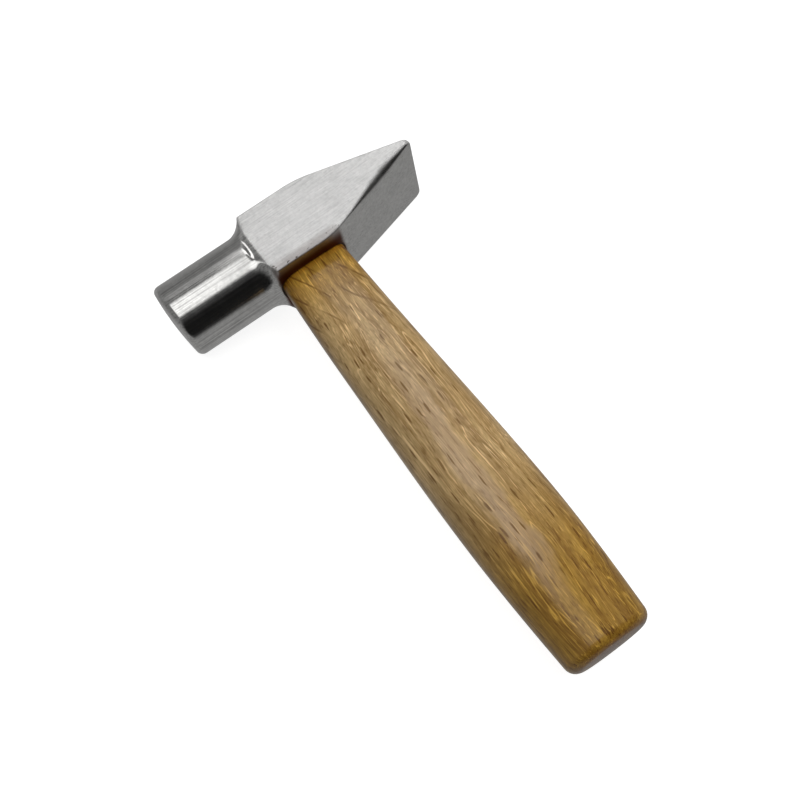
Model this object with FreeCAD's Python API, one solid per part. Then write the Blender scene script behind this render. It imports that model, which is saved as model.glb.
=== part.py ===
import FreeCAD, Part

import math
import os

# Small cross-pein tack hammer, in millimetres.
# The hammer lies on its lower cheek.  The origin is on the lower cheek, under the middle
# of the eye.  +X runs along the handle from head to butt, +Y along the head from the
# striking face to the pein, and +Z is up, out of the upper cheek.

V = FreeCAD.Vector

# ---------------------------------------------------------------- head forging
HEAD_WIDTH = 20.9            # cheek to cheek, along Z
HEAD_DEPTH = 21.8            # crown to underside, along X
POLL_DIAMETER = 22.0
FACE_REACH = 39.5            # eye centre to striking face
FACE_CROWN = 0.5             # how far the striking face bulges
FACE_EDGE_RADIUS = 1.8
NECK_START = 14.9            # eye centre to where the poll starts to flare into the body
NECK_RADIUS = 5.6            # concave radius of the turned neck
NECK_SINK = 0.1              # how far the neck cone ends below the cheeks
PEIN_REACH = 40.2            # eye centre to the pein's edge
PEIN_EDGE_WIDTH = 24.4       # along Z, wider than the cheeks
PEIN_EDGE_THICKNESS = 1.4
PEIN_CORNER_RADIUS = 2.0
PEIN_TOP_START = 9.2         # eye centre to the start of the upper slope
PEIN_UNDER_START = 8.0       # eye centre to the start of the lower slope
PEIN_BEND_RADIUS = 20.0
FLARE_START = 8.6            # eye centre to where the cheeks start to spread
FLARE_BEND_RADIUS = 200.0
EDGE_RADIUS = 0.5

# ---------------------------------------------------------------- eye and its fits
EYE_LENGTH_UNDER = 20.7      # along Y at the underside
EYE_THICKNESS_UNDER = 11.1   # along Z at the underside
EYE_LENGTH_CROWN = 21.7      # along Y at the crown, where the wedges spread the tenon
EYE_THICKNESS_CROWN = 12.3
EYE_SQUARENESS = 3.4         # exponent of the rounded outline
ADHESIVE_GAP = 0.3           # all round, between the tenon and the eye
ADHESIVE_RECESS = 0.4        # the adhesive stops this far inside the crown and the underside

# ---------------------------------------------------------------- handle
HANDLE_END = 134.9           # eye centre to the butt
SHANK_PLACE = 44.0           # eye centre to the slim part behind the head
SHANK_WIDTH = 22.5
SHANK_THICKNESS = 15.6
GRIP_PLACE = 97.0            # eye centre to the widest part
GRIP_WIDTH = 25.3
GRIP_THICKNESS = 19.8
BUTT_WIDTH = 22.2
BUTT_THICKNESS = 17.6
BUTT_EDGE_RADIUS = 3.0
SHANK_SQUARENESS = 2.5
GRIP_SQUARENESS = 2.25
HANDLE_SECTIONS = 13
SECTION_POINTS = 32

# ---------------------------------------------------------------- wedges
WOOD_WEDGE_DEPTH = 15.0      # along X, down from the crown
WOOD_WEDGE_THICK_END = 2.6
WOOD_WEDGE_THIN_END = 0.6
WOOD_WEDGE_SIDE_MARGIN = 1.2  # left of the tenon at each end of the wedge
STEEL_WEDGE_DEPTH = 9.0
STEEL_WEDGE_THICK_END = 1.9
STEEL_WEDGE_THIN_END = 0.4
STEEL_WEDGE_SIDE_MARGIN = 1.55  # left of the tenon at each end of the steel wedge

# ---------------------------------------------------------------- worked out
CENTRE_Z = HEAD_WIDTH / 2
CROWN_X = -HEAD_DEPTH / 2
UNDERSIDE_X = HEAD_DEPTH / 2
POLL_RADIUS = POLL_DIAMETER / 2
CUT_MARGIN = 5.0             # how far cutting and limiting bodies run past the solid
TENON_LENGTH_UNDER = EYE_LENGTH_UNDER - 2 * ADHESIVE_GAP
TENON_THICKNESS_UNDER = EYE_THICKNESS_UNDER - 2 * ADHESIVE_GAP
TENON_LENGTH_CROWN = EYE_LENGTH_CROWN - 2 * ADHESIVE_GAP
TENON_THICKNESS_CROWN = EYE_THICKNESS_CROWN - 2 * ADHESIVE_GAP


def rounded_outline(corners, place):
    """Closed face through corners (u, v, radius), each corner rounded by a tangent arc."""
    count = len(corners)
    spans = []
    for i, (u, v, radius) in enumerate(corners):
        here = V(u, v, 0)
        before = V(corners[i - 1][0], corners[i - 1][1], 0)
        after = V(corners[(i + 1) % count][0], corners[(i + 1) % count][1], 0)
        back = (before - here).normalize()
        ahead = (after - here).normalize()
        if radius == 0:
            spans.append((here, None, here))
            continue
        half_angle = back.getAngle(ahead) / 2
        reach = radius / math.tan(half_angle)
        bisector = (back + ahead).normalize()
        middle = here + bisector * (radius / math.sin(half_angle) - radius)
        spans.append((here + back * reach, middle, here + ahead * reach))
    edges = []
    for i, (start, middle, end) in enumerate(spans):
        if middle is not None:
            edges.append(Part.Arc(place(start), place(middle), place(end)).toShape())
        following = spans[(i + 1) % count][0]
        edges.append(Part.makeLine(place(end), place(following)))
    return Part.Face(Part.Wire(edges))


def oval_wire(x, length, thickness, squareness):
    """Rounded outline across X: |y/a|^n + |z/b|^n = 1, as one closed smooth curve."""
    points = []
    for i in range(SECTION_POINTS):
        turn = 2 * math.pi * i / SECTION_POINTS
        c, s = math.cos(turn), math.sin(turn)
        y = math.copysign(abs(c) ** (2 / squareness), c) * length / 2
        z = math.copysign(abs(s) ** (2 / squareness), s) * thickness / 2
        points.append(V(x, y, CENTRE_Z + z))
    curve = Part.BSplineCurve()
    curve.interpolate(points, PeriodicFlag=True)
    return Part.Wire([curve.toShape()])


def tapered_block(x_top, x_tip, y_half_top, y_half_tip, z_half_top, z_half_tip):
    """Solid wedge from a rectangle at x_top to a smaller one at x_tip."""
    wires = []
    for x, y_half, z_half in ((x_top, y_half_top, z_half_top), (x_tip, y_half_tip, z_half_tip)):
        corners = [(-1, -1), (1, -1), (1, 1), (-1, 1), (-1, -1)]
        wires.append(Part.makePolygon([V(x, a * y_half, CENTRE_Z + b * z_half) for a, b in corners]))
    return Part.makeLoft(wires, True, True)


# ---------------------------------------------------------------- head
def eye_solid(gap, x_start, x_end):
    """Tapered plug of the eye less a gap all round, from x_start to x_end."""
    def section(x):
        share = (x - CROWN_X) / (UNDERSIDE_X - CROWN_X)
        length = EYE_LENGTH_CROWN + share * (EYE_LENGTH_UNDER - EYE_LENGTH_CROWN)
        thickness = EYE_THICKNESS_CROWN + share * (EYE_THICKNESS_UNDER - EYE_THICKNESS_CROWN)
        return oval_wire(x, length - 2 * gap, thickness - 2 * gap, EYE_SQUARENESS)
    return Part.makeLoft([section(x_start), section(x_end)], True, True)


def body_and_pein():
    """Square body and wedge-shaped pein, before the neck is turned."""
    side = rounded_outline([
        (-NECK_START, CROWN_X, 0),
        (PEIN_TOP_START, CROWN_X, PEIN_BEND_RADIUS),
        (PEIN_REACH, -PEIN_EDGE_THICKNESS / 2, 0),
        (PEIN_REACH, PEIN_EDGE_THICKNESS / 2, 0),
        (PEIN_UNDER_START, UNDERSIDE_X, PEIN_BEND_RADIUS),
        (-NECK_START, UNDERSIDE_X, 0),
    ], lambda p: V(p.y, p.x, CENTRE_Z - PEIN_EDGE_WIDTH))
    plan = rounded_outline([
        (-NECK_START, -HEAD_WIDTH / 2, 0),
        (FLARE_START, -HEAD_WIDTH / 2, FLARE_BEND_RADIUS),
        (PEIN_REACH, -PEIN_EDGE_WIDTH / 2, PEIN_CORNER_RADIUS),
        (PEIN_REACH, PEIN_EDGE_WIDTH / 2, PEIN_CORNER_RADIUS),
        (FLARE_START, HEAD_WIDTH / 2, FLARE_BEND_RADIUS),
        (-NECK_START, HEAD_WIDTH / 2, 0),
    ], lambda p: V(CROWN_X - CUT_MARGIN, p.x, CENTRE_Z + p.y))
    block = side.extrude(V(0, 0, 2 * PEIN_EDGE_WIDTH))
    block = block.common(plan.extrude(V(HEAD_DEPTH + 2 * CUT_MARGIN, 0, 0)))
    return block


def rim_edges(block):
    """The long edges between the cheeks and the crown, slopes and underside."""
    found = []
    for edge in block.Edges:
        box = edge.BoundBox
        on_cheek_side = abs(edge.CenterOfMass.z - CENTRE_Z) > HEAD_WIDTH / 2 - EDGE_RADIUS
        if on_cheek_side and box.YLength > box.ZLength and box.YMin > -NECK_START - 0.01:
            found.append(edge)
    return found


def turned_limit():
    """Body of revolution about Y whose concave neck trims the square body's corners."""
    outer = math.hypot(HEAD_WIDTH, PEIN_EDGE_WIDTH) + CUT_MARGIN
    centre_r = POLL_RADIUS + NECK_RADIUS
    low = V(0, -NECK_START, POLL_RADIUS)
    turn = math.radians(45)
    mid = V(0, -NECK_START + NECK_RADIUS * math.sin(turn), centre_r - NECK_RADIUS * math.cos(turn))
    high = V(0, -NECK_START + NECK_RADIUS, centre_r)
    edges = [
        Part.makeLine(V(0, -NECK_START, 0), low),
        Part.Arc(low, mid, high).toShape(),
        Part.makeLine(high, V(0, high.y, outer)),
        Part.makeLine(V(0, high.y, outer), V(0, PEIN_REACH + CUT_MARGIN, outer)),
        Part.makeLine(V(0, PEIN_REACH + CUT_MARGIN, outer), V(0, PEIN_REACH + CUT_MARGIN, 0)),
        Part.makeLine(V(0, PEIN_REACH + CUT_MARGIN, 0), V(0, -NECK_START, 0)),
    ]
    solid = Part.Face(Part.Wire(edges)).revolve(V(0, 0, 0), V(0, 1, 0), 360)
    solid.translate(V(0, 0, CENTRE_Z))
    return solid


def poll():
    """Turned poll with a crowned face, ending in a cone that sinks into the square body."""
    sunk_radius = min(HEAD_WIDTH, HEAD_DEPTH) / 2 - NECK_SINK
    flat_radius = POLL_RADIUS - FACE_EDGE_RADIUS
    face_y = -FACE_REACH
    turn = math.radians(45)
    edge_mid = V(0, face_y + FACE_CROWN + FACE_EDGE_RADIUS * (1 - math.cos(turn)),
                 flat_radius + FACE_EDGE_RADIUS * math.sin(turn))
    rim_start = V(0, face_y + FACE_CROWN, flat_radius)
    rim_end = V(0, face_y + FACE_CROWN + FACE_EDGE_RADIUS, POLL_RADIUS)
    crown_mid = V(0, face_y + FACE_CROWN / 4, flat_radius / 2)
    cone_end = V(0, -NECK_START + NECK_RADIUS, sunk_radius)
    edges = [
        Part.Arc(V(0, face_y, 0), crown_mid, rim_start).toShape(),
        Part.Arc(rim_start, edge_mid, rim_end).toShape(),
        Part.makeLine(rim_end, V(0, -NECK_START, POLL_RADIUS)),
        Part.makeLine(V(0, -NECK_START, POLL_RADIUS), cone_end),
        Part.makeLine(cone_end, V(0, cone_end.y, 0)),
        Part.makeLine(V(0, cone_end.y, 0), V(0, face_y, 0)),
    ]
    solid = Part.Face(Part.Wire(edges)).revolve(V(0, 0, 0), V(0, 1, 0), 360)
    solid.translate(V(0, 0, CENTRE_Z))
    return solid


def forging():
    """Steel head before its eye is pierced."""
    block = body_and_pein()
    block = block.makeFillet(EDGE_RADIUS, rim_edges(block))
    return block.common(turned_limit()).fuse(poll())


def head():
    """Steel head with its tapered eye."""
    return forging().cut(eye_solid(0, CROWN_X - CUT_MARGIN, UNDERSIDE_X + CUT_MARGIN))


# ---------------------------------------------------------------- handle
def smooth_value(stations, x):
    """Value at x of the smooth curve through stations (x, value), level at the widest one."""
    places = [place for place, _ in stations]
    values = [value for _, value in stations]
    rates = [(values[i + 1] - values[i]) / (places[i + 1] - places[i]) for i in range(len(places) - 1)]
    slopes = [rates[0]]
    for before, after in zip(rates, rates[1:]):
        slopes.append(0.0 if before * after <= 0 else 2 * before * after / (before + after))
    slopes.append(1.6 * rates[-1])
    i = max(k for k in range(len(places) - 1) if places[k] <= x or k == 0)
    span = places[i + 1] - places[i]
    s = (x - places[i]) / span
    start, end = values[i], values[i + 1]
    rise = s * s * (3 - 2 * s)
    return (start + (end - start) * rise
            + span * slopes[i] * s * (1 - s) ** 2
            - span * slopes[i + 1] * s * s * (1 - s))


def handle_section(x):
    """Outline of the handle at x, outside the eye."""
    width = smooth_value([(UNDERSIDE_X, TENON_LENGTH_UNDER), (SHANK_PLACE, SHANK_WIDTH),
                          (GRIP_PLACE, GRIP_WIDTH), (HANDLE_END, BUTT_WIDTH)], x)
    thickness = smooth_value([(UNDERSIDE_X, TENON_THICKNESS_UNDER), (SHANK_PLACE, SHANK_THICKNESS),
                              (GRIP_PLACE, GRIP_THICKNESS), (HANDLE_END, BUTT_THICKNESS)], x)
    squareness = smooth_value([(UNDERSIDE_X, EYE_SQUARENESS), (SHANK_PLACE, SHANK_SQUARENESS),
                               (GRIP_PLACE, GRIP_SQUARENESS), (HANDLE_END, GRIP_SQUARENESS)], x)
    return oval_wire(x, width, thickness, squareness)


def kerf_cut():
    """Everything that the two wedges displace in the tenon."""
    return wood_wedge_blank().fuse(steel_wedge())


def handle():
    """Handle with its tenon, kerfed for the wedges."""
    step = (HANDLE_END - UNDERSIDE_X) / (HANDLE_SECTIONS - 1)
    sections = [handle_section(UNDERSIDE_X + step * i) for i in range(HANDLE_SECTIONS)]
    grip = Part.makeLoft(sections, True, False)
    butt = [edge for edge in grip.Edges if edge.BoundBox.XMin > HANDLE_END - 0.01]
    grip = grip.makeFillet(BUTT_EDGE_RADIUS, butt)
    tenon = eye_solid(ADHESIVE_GAP, CROWN_X, UNDERSIDE_X)
    return tenon.fuse(grip).cut(kerf_cut())


def adhesive():
    """Sleeve of adhesive between tenon and eye, set back from both faces of the head."""
    sleeve = eye_solid(0, CROWN_X, UNDERSIDE_X)
    for side in (-1, 1):
        limit = forging()
        limit.translate(V(side * ADHESIVE_RECESS, 0, 0))
        sleeve = sleeve.common(limit)
    return sleeve.cut(eye_solid(ADHESIVE_GAP, CROWN_X - CUT_MARGIN, UNDERSIDE_X + CUT_MARGIN))


# ---------------------------------------------------------------- wedges
def wood_wedge_blank():
    """Wooden wedge along the tenon's length, before the steel wedge is driven."""
    reach = TENON_LENGTH_CROWN / 2 - WOOD_WEDGE_SIDE_MARGIN
    tip_reach = TENON_LENGTH_UNDER / 2 - WOOD_WEDGE_SIDE_MARGIN
    return tapered_block(CROWN_X, CROWN_X + WOOD_WEDGE_DEPTH, reach, tip_reach,
                         WOOD_WEDGE_THICK_END / 2, WOOD_WEDGE_THIN_END / 2)


def steel_wedge():
    """Steel wedge driven across the wooden one."""
    half_width = TENON_THICKNESS_CROWN / 2 - STEEL_WEDGE_SIDE_MARGIN
    return tapered_block(CROWN_X, CROWN_X + STEEL_WEDGE_DEPTH,
                         STEEL_WEDGE_THICK_END / 2, STEEL_WEDGE_THIN_END / 2,
                         half_width, half_width)


def wood_wedge():
    """Wooden wedge, split part of the way down by the steel wedge."""
    return wood_wedge_blank().cut(steel_wedge())


PARTS = {
    "head": head,
    "handle": handle,
    "eye_adhesive": adhesive,
    "wood_wedge": wood_wedge,
    "steel_wedge": steel_wedge,
}


def main():
    os.makedirs("parts", exist_ok=True)
    for name, make in PARTS.items():
        shape = make()
        solids = shape.Solids
        print(name, "solids", len(solids), "valid", shape.isValid(), "volume", round(shape.Volume, 1),
              "box", [round(v, 2) for v in (shape.BoundBox.XMin, shape.BoundBox.XMax,
                                            shape.BoundBox.YMin, shape.BoundBox.YMax,
                                            shape.BoundBox.ZMin, shape.BoundBox.ZMax)])
        shape.exportStep("parts/%s.step" % name)


main()
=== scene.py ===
"""Small cross-pein tack hammer in a plain studio.

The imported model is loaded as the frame.  The forged head and the oak handle are rebuilt as
finer surfaces in the same places, and the adhesive and the two wedges keep their own shapes
and get their finishes here.  Lengths are in millimetres until a mesh is made.
"""

import logging
import math
from dataclasses import dataclass
from enum import Enum
from typing import Any

import bmesh
import bpy
import numpy as np
from mathutils import Matrix, Vector


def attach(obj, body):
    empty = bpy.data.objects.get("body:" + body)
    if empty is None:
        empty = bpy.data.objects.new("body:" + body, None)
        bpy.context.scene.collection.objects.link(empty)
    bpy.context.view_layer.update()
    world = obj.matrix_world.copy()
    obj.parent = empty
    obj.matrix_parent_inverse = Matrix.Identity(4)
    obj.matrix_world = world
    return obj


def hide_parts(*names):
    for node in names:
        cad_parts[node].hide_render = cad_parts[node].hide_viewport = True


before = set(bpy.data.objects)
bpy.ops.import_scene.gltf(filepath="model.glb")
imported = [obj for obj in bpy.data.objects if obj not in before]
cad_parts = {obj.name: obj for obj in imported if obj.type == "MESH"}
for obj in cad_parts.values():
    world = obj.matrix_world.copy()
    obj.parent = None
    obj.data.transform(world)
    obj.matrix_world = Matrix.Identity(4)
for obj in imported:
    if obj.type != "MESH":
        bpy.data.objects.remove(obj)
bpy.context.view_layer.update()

LOG = logging.getLogger("tack_hammer")
MM = 0.001
CENTRE_Z = 10.45             # height of the head's and the handle's middle plane
CROWN_X = -10.9              # top of the head, where the wedges show
UNDERSIDE_X = 10.9           # underside of the head, where the handle leaves it
TINY = 1e-6                  # stands in for zero where a length divides
NO_WIDTH = 1e-9              # stands in for a rounding of no width
FLAT = 0.999                 # a column is on a flat side where its direction has a part above this
BEYOND = 99.0                # a reach past the whole head

Array = np.ndarray
Colour = tuple[float, float, float, float]
Triple = tuple[float, float, float]
Pair = tuple[float, float]
Faces = list[list[int]]
Node = bpy.types.Node
Piece = bpy.types.Object
Material = bpy.types.Material
Socket = bpy.types.NodeSocket


# ------------------------------------------------------------------ shapes
def soft_min(a: Array, b: Array, width: Array | float) -> Array:
    """Smaller of two values, with the corner between them rounded.

    Where the two differ by less than width, a parabola a quarter of width deep replaces the
    corner.  A width of zero gives the plain minimum.

    Args:
        a: First values.
        b: Second values.
        width: Difference at which the rounding starts.

    Returns:
        The rounded minimum, element by element.
    """
    safe = np.maximum(width, NO_WIDTH)
    near = np.clip(safe - np.abs(a - b), 0, None) / safe
    return np.minimum(a, b) - near * near * safe / 4


def soft_max(a: Array, b: Array, width: Array | float) -> Array:
    """Larger of two values, rounded in the same way as soft_min."""
    return -soft_min(-a, -b, width)


def smooth_step(value: Array, low: float, high: float) -> Array:
    """Rises from 0 at low to 1 at high, level at both ends: 3s^2 - 2s^3."""
    share = np.clip((value - low) / (high - low), 0, 1)
    return share * share * (3 - 2 * share)


def part_way(ends: Pair, share: Array | float) -> Array | float:
    """Value that lies the given share of the way from the first end to the second."""
    return ends[0] + share * (ends[1] - ends[0])


def bent_line(y: Array, bend: Pair, end: Pair, softness: float) -> Array:
    """Level line that turns off straight to its end, with the corner rounded.

    Args:
        y: Places along the head.
        bend: Place and height of the turn.
        end: Place and height of the end.
        softness: How far before and after the turn the rounding reaches.

    Returns:
        The line's heights.
    """
    slope = (end[1] - bend[1]) / (end[0] - bend[0])
    join = soft_max if slope > 0 else soft_min
    return join(np.full_like(y, bend[1]), bend[1] + slope * (y - bend[0]), softness * abs(slope))


def rounding(a: Array, b: Array, power: Array | float) -> Array:
    """Scale that brings a, b onto |a|^n + |b|^n = 1: the n-th root of one over their sum."""
    return np.maximum(np.abs(a) ** power + np.abs(b) ** power, TINY) ** (-1 / power)


def oval_reach(turn: Array, half_length: Array, half_width: Array, squareness: Array) -> Array:
    """Distance from the middle to a rounded outline, in the direction turn.

    The outline is |u/a|^n + |v/b|^n = 1, so the distance is the n-th root of one over
    |cos/a|^n + |sin/b|^n.

    Args:
        turn: Direction in radians from the outline's long axis.
        half_length: Half the length, a.
        half_width: Half the width, b.
        squareness: The exponent n; 2 is an ellipse and more is squarer.

    Returns:
        The distances, element by element.
    """
    return rounding(np.cos(turn) / half_length, np.sin(turn) / half_width, squareness)


def strip_faces(rings: Array) -> Array:
    """Quads between neighbouring rows of a grid of vertex numbers whose columns close."""
    after = np.roll(rings, -1, axis=1)
    return np.stack([rings[:-1], after[:-1], after[1:], rings[1:]], axis=-1).reshape(-1, 4)


def fan_faces(ring: Array, centre: int) -> Array:
    """Triangles between a closed ring of vertex numbers and one centre vertex."""
    after = np.roll(ring, -1)
    return np.stack([ring, after, np.full_like(ring, centre)], axis=-1)


def used_only(points: Array, faces: Faces) -> tuple[Array, Faces]:
    """Leaves out the points that no face uses.

    Args:
        points: Vertices, one per row.
        faces: Vertex numbers of each face.

    Returns:
        The points that are left, and the faces with their new numbers.
    """
    used = np.zeros(len(points), bool)
    used[[number for face in faces for number in face]] = True
    renumbered = (np.cumsum(used) - 1).tolist()
    return points[used], [[renumbered[number] for number in face] for face in faces]


def mesh_piece(name: str, points: Array, faces: Faces) -> Piece:
    """Makes a smooth closed piece whose object sits at the origin.

    Args:
        name: Name of the piece.
        points: Vertices in millimetres, one per row.
        faces: Vertex numbers of each face.

    Returns:
        The new object, with its faces turned outwards.
    """
    mesh = bpy.data.meshes.new(name)
    mesh.from_pydata((points * MM).tolist(), [], faces)
    work = bmesh.new()
    work.from_mesh(mesh)
    bmesh.ops.recalc_face_normals(work, faces=work.faces)
    work.to_mesh(mesh)
    work.free()
    mesh.shade_smooth()
    piece = bpy.data.objects.new(name, mesh)
    bpy.context.scene.collection.objects.link(piece)
    return piece


def store_values(piece: Piece, name: str, values: Array) -> None:
    """Keeps one number, or one colour of four numbers, for every vertex of a piece."""
    kind = "FLOAT" if values.ndim == 1 else "FLOAT_COLOR"
    layer = piece.data.attributes.new(name, kind, "POINT")
    field_name = "value" if values.ndim == 1 else "color"
    layer.data.foreach_set(field_name, values.astype(np.float32).ravel())


# ------------------------------------------------------------------ shader parts
class NodeSheet:
    """A node tree that is filled one node at a time."""

    def __init__(self, tree: bpy.types.NodeTree) -> None:
        """Starts from an empty tree."""
        self.tree = tree
        tree.nodes.clear()

    def feed(self, socket: Socket, value: Any) -> None:
        """Links value to the socket if it is a socket, and otherwise sets it."""
        if isinstance(value, Socket):
            self.tree.links.new(value, socket)
        else:
            socket.default_value = value

    def node(self, kind: str, inputs: dict[str | int, Any], **settings: Any) -> Node:
        """Adds a node.

        Args:
            kind: Blender's name for the node's type.
            inputs: Value or socket for each input, by name or number.
            settings: Properties of the node.

        Returns:
            The new node.
        """
        made = self.tree.nodes.new(kind)
        for key, value in settings.items():
            setattr(made, key, value)
        for key, value in inputs.items():
            self.feed(made.inputs[key], value)
        return made

    def maths(self, operation: str, *values: Any) -> Socket:
        """Adds a maths node and gives its result."""
        return self.node("ShaderNodeMath", dict(enumerate(values)), operation=operation).outputs[0]

    def times(self, a: Any, b: Any) -> Socket:
        """Multiplies two numbers."""
        return self.maths("MULTIPLY", a, b)

    def plus(self, a: Any, b: Any) -> Socket:
        """Adds two numbers."""
        return self.maths("ADD", a, b)

    def minus(self, a: Any, b: Any) -> Socket:
        """Takes b from a."""
        return self.maths("SUBTRACT", a, b)

    def colour(self, red: Any, green: Any, blue: Any) -> Socket:
        """Makes a colour of three numbers."""
        inputs = {"Red": red, "Green": green, "Blue": blue}
        return self.node("ShaderNodeCombineColor", inputs).outputs[0]

    def axes(self, place: Any) -> Any:
        """Splits a place into X, Y and Z."""
        return self.node("ShaderNodeSeparateXYZ", {0: place}).outputs

    def bump(self, shader: Node, height: Any, strength: float, depth: float) -> None:
        """Gives a shader's surface a relief that is depth millimetres deep."""
        inputs = {"Height": height, "Strength": strength, "Distance": depth * MM}
        made = self.node("ShaderNodeBump", inputs)
        self.feed(shader.inputs["Normal"], made.outputs[0])

    def vector(self, operation: str, *values: Any) -> Socket:
        """Adds vector maths and gives its vector, or its value for LENGTH and DOT_PRODUCT."""
        made = self.node("ShaderNodeVectorMath", dict(enumerate(values)), operation=operation)
        return made.outputs["Value" if operation in {"LENGTH", "DOT_PRODUCT"} else "Vector"]

    def blend(self, share: Any, a: Any, b: Any, how: str = "MIX") -> Socket:
        """Mixes two colours."""
        made = self.node("ShaderNodeMix", {0: share, 6: a, 7: b}, data_type="RGBA", blend_type=how)
        return made.outputs[2]

    def between(self, share: Any, a: Any, b: Any) -> Socket:
        """Mixes two numbers."""
        return self.node("ShaderNodeMix", {0: share, 2: a, 3: b}, data_type="FLOAT").outputs[0]

    def step(self, value: Any, low: float, high: float, to_low: float = 0.0,
             to_high: float = 1.0) -> Socket:
        """Rises smoothly from to_low at low to to_high at high."""
        inputs = {"Value": value, "From Min": low, "From Max": high,
                  "To Min": to_low, "To Max": to_high}
        return self.node("ShaderNodeMapRange", inputs, interpolation_type="SMOOTHSTEP").outputs[0]

    def noise(self, position: Any, scale: float, detail: float = 3.0, roughness: float = 0.5,
              seed: float = 0.0) -> Socket:
        """Adds four-dimensional noise, whose fourth coordinate is the seed."""
        inputs = {"Vector": position, "W": seed, "Scale": scale, "Detail": detail,
                  "Roughness": roughness}
        return self.node("ShaderNodeTexNoise", inputs, noise_dimensions="4D").outputs["Fac"]


class Group(Enum):
    """The effects that more than one finish uses."""

    FINE_MARKS = "fine_marks"
    SMUDGES = "smudges"
    OAK_GRAIN = "oak_grain"


class GroupShelf:
    """Builds each shared node group once and places it in materials."""

    def __init__(self) -> None:
        """Starts with no group built."""
        self.built: dict[Group, bpy.types.NodeTree] = {}

    def place(self, sheet: NodeSheet, group: Group, inputs: dict[str, Any]) -> Any:
        """Places a group in a material, building the group when it is first asked for.

        Args:
            sheet: The material's nodes.
            group: Which effect to place.
            inputs: Value or socket for each of the group's inputs.

        Returns:
            The group node's outputs.
        """
        if group not in self.built:
            makers = {
                Group.FINE_MARKS: self.fine_marks,
                Group.SMUDGES: self.smudges,
                Group.OAK_GRAIN: self.oak_grain,
            }
            self.built[group] = makers[group]()
        made = sheet.node("ShaderNodeGroup", {}, node_tree=self.built[group])
        for key, value in inputs.items():
            sheet.feed(made.inputs[key], value)
        return made.outputs

    @staticmethod
    def start(group: Group, inputs: dict[str, str],
              outputs: dict[str, str]) -> tuple[NodeSheet, Any, Any]:
        """Makes an empty group with its sockets.

        Args:
            group: Which effect the group is.
            inputs: Socket type of each input.
            outputs: Socket type of each output.

        Returns:
            The group's nodes, its input node and its output node.
        """
        tree = bpy.data.node_groups.new(group.value, "ShaderNodeTree")
        for name, kind in inputs.items():
            tree.interface.new_socket(name, in_out="INPUT", socket_type=kind)
        for name, kind in outputs.items():
            tree.interface.new_socket(name, in_out="OUTPUT", socket_type=kind)
        sheet = NodeSheet(tree)
        return sheet, sheet.node("NodeGroupInput", {}), sheet.node("NodeGroupOutput", {})

    def fine_marks(self) -> bpy.types.NodeTree:
        """Fine parallel marks: noise that is stretched along the marks, and sparser scratches."""
        sheet, given, result = self.start(
            Group.FINE_MARKS,
            {"Position": "NodeSocketVector", "Stretch": "NodeSocketVector"},
            {"Grain": "NodeSocketFloat", "Scratches": "NodeSocketFloat"},
        )
        place = sheet.vector("MULTIPLY", given.outputs["Position"], given.outputs["Stretch"])
        grain = sheet.noise(place, 1.0, detail=4.0, roughness=0.65)
        wide = sheet.vector("MULTIPLY", place, (0.45, 0.45, 0.45))
        sparse = sheet.noise(wide, 1.0, detail=2.0, seed=7.0)
        sheet.feed(result.inputs["Grain"], grain)
        sheet.feed(result.inputs["Scratches"], sheet.step(sparse, 0.63, 0.72))
        return sheet.tree

    def smudges(self) -> bpy.types.NodeTree:
        """Soft cloudy patches that change a finish's gloss and tone from place to place."""
        sheet, given, result = self.start(
            Group.SMUDGES,
            {"Position": "NodeSocketVector", "Size": "NodeSocketFloat"},
            {"Cloud": "NodeSocketFloat", "Specks": "NodeSocketFloat"},
        )
        scale = sheet.maths("DIVIDE", 1.0, given.outputs["Size"])
        place = sheet.vector("SCALE", given.outputs["Position"])
        sheet.feed(place.node.inputs["Scale"], scale)
        cloud = sheet.noise(place, 1.0, detail=3.0, roughness=0.55, seed=3.0)
        specks = sheet.noise(place, 9.0, detail=1.0, seed=5.0)
        sheet.feed(result.inputs["Cloud"], sheet.step(cloud, 0.3, 0.7))
        sheet.feed(result.inputs["Specks"], sheet.step(specks, 0.70, 0.78))
        return sheet.tree

    def oak_grain(self) -> bpy.types.NodeTree:
        """Ring-porous wood with its length along X.

        Growth bands and fibres are noises drawn out along X, with their place bent a little by
        a slow noise.  Pores are the peaks of such a noise, and the broad flecks are drawn-out
        cells, some of which stay empty.  Thin pale fibres are the places where a smooth noise
        passes through one value.  The dark ring lines that cross them near the head are the
        crests of a slanting wave.
        """
        sheet, given, result = self.start(
            Group.OAK_GRAIN,
            {"Position": "NodeSocketVector", "Pale": "NodeSocketColor", "Dark": "NodeSocketColor",
             "Pore": "NodeSocketColor"},
            {"Colour": "NodeSocketColor", "Marks": "NodeSocketFloat", "Fibres": "NodeSocketFloat"},
        )
        position = given.outputs["Position"]
        slow = sheet.vector("MULTIPLY", position, (0.022, 0.07, 0.07))
        bend = sheet.node("ShaderNodeTexNoise", {"Vector": slow, "Scale": 1.0, "Detail": 1.0})
        centred = sheet.vector("SUBTRACT", bend.outputs["Color"], (0.5, 0.5, 0.5))
        wavy = sheet.vector("ADD", position, sheet.vector("MULTIPLY", centred, (0.0, 6.0, 6.0)))

        def drawn_out(along: float, across: float, detail: float, seed: float) -> Any:
            """Noise whose marks are about 1/along long and 1/across wide, in millimetres."""
            place = sheet.vector("MULTIPLY", wavy, (along, across, across))
            return sheet.noise(place, 1.0, detail=detail, seed=seed)

        bands = drawn_out(0.012, 0.20, 2.0, 1.0)
        rings = drawn_out(0.020, 0.75, 2.0, 9.0)
        tone = sheet.between(0.5, bands, rings)
        pale, dark, pore = (given.outputs[name] for name in ("Pale", "Dark", "Pore"))
        colour = sheet.blend(sheet.step(tone, 0.36, 0.62), pale, dark)

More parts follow.
